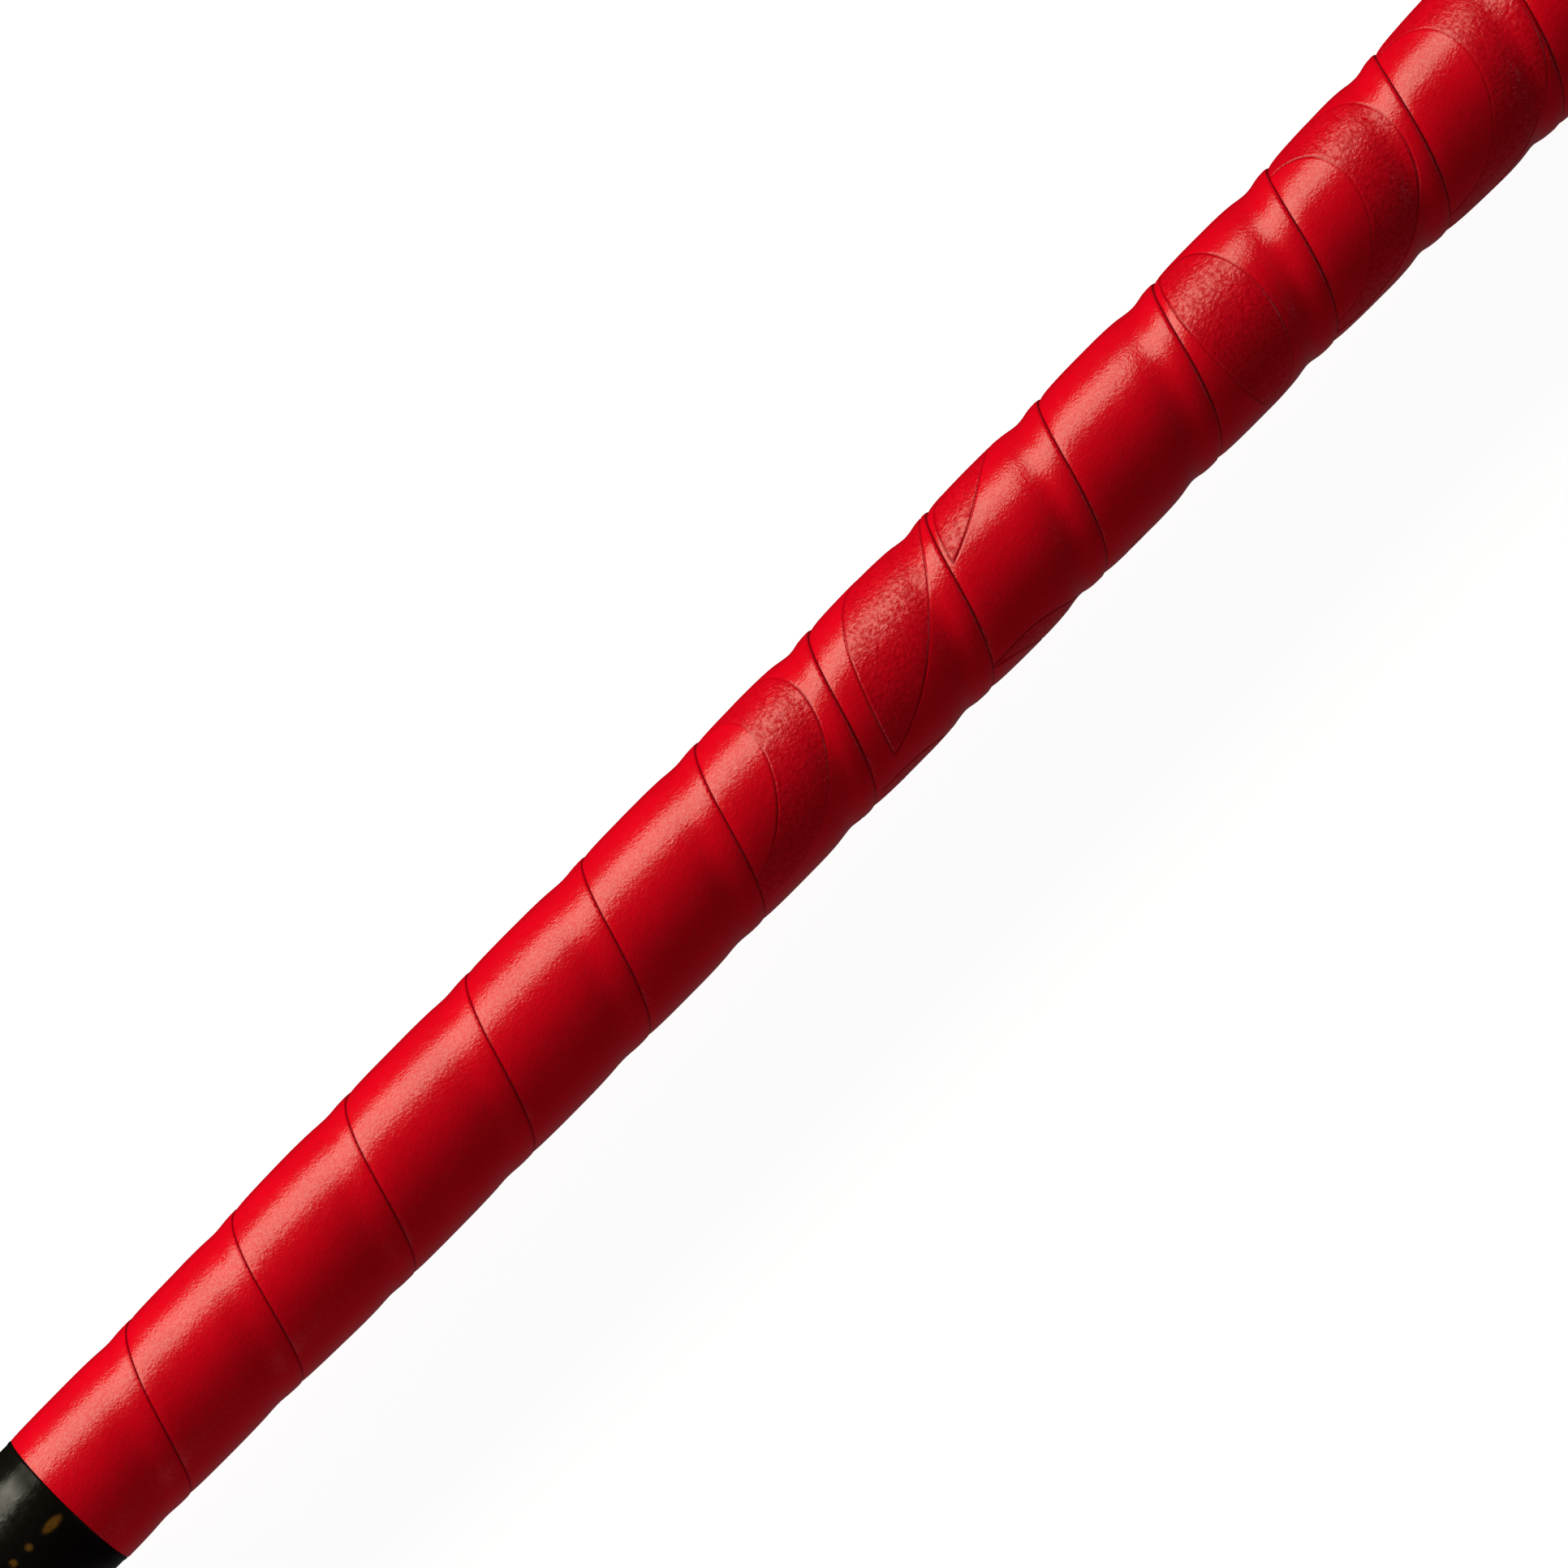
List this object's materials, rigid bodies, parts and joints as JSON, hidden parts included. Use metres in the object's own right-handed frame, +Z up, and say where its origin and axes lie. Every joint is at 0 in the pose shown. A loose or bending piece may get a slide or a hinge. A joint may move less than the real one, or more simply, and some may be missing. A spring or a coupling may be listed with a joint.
{
  "type": "devil stick",
  "caption": "Juggling baton with a wooden core, foam cushion, spirally wound red grip strip on each half, black sleeve at the balance point and rubber caps on weighted ends.",
  "frame": {"origin": "on the stick's axis at mid-length, the balance point, which is the centre of the bounding box", "axes": "+X along the stick towards its right-hand end, +Z up when it lies on its side on its two rubber caps"},
  "size_m": [0.72, 0.034, 0.034],
  "materials": {
    "core_wood": "satin",
    "collar_rubber": "matte",
    "sleeve_black": "gloss",
    "cushion_foam": "matte",
    "grip_red": "gloss",
    "start_tape_vinyl": "satin",
    "weight_steel": "satin",
    "cap_rubber": "satin",
    "fastener_steel": "polished"
  },
  "bodies": {
    "root": {"core_stick": "core_wood", "centre_collar": "collar_rubber", "centre_sleeve": "sleeve_black", "cushion_tape_right": "cushion_foam", "cushion_tape_left": "cushion_foam", "grip_strip_right": "grip_red", "grip_strip_left": "grip_red", "start_tape_right": "start_tape_vinyl", "start_tape_left": "start_tape_vinyl", "end_weight_right": "weight_steel", "end_weight_left": "weight_steel", "end_cap_right": "cap_rubber", "end_cap_left": "cap_rubber", "end_washer_right": "fastener_steel", "end_washer_left": "fastener_steel", "end_screw_right": "fastener_steel", "end_screw_left": "fastener_steel"}
  },
  "joints": []
}
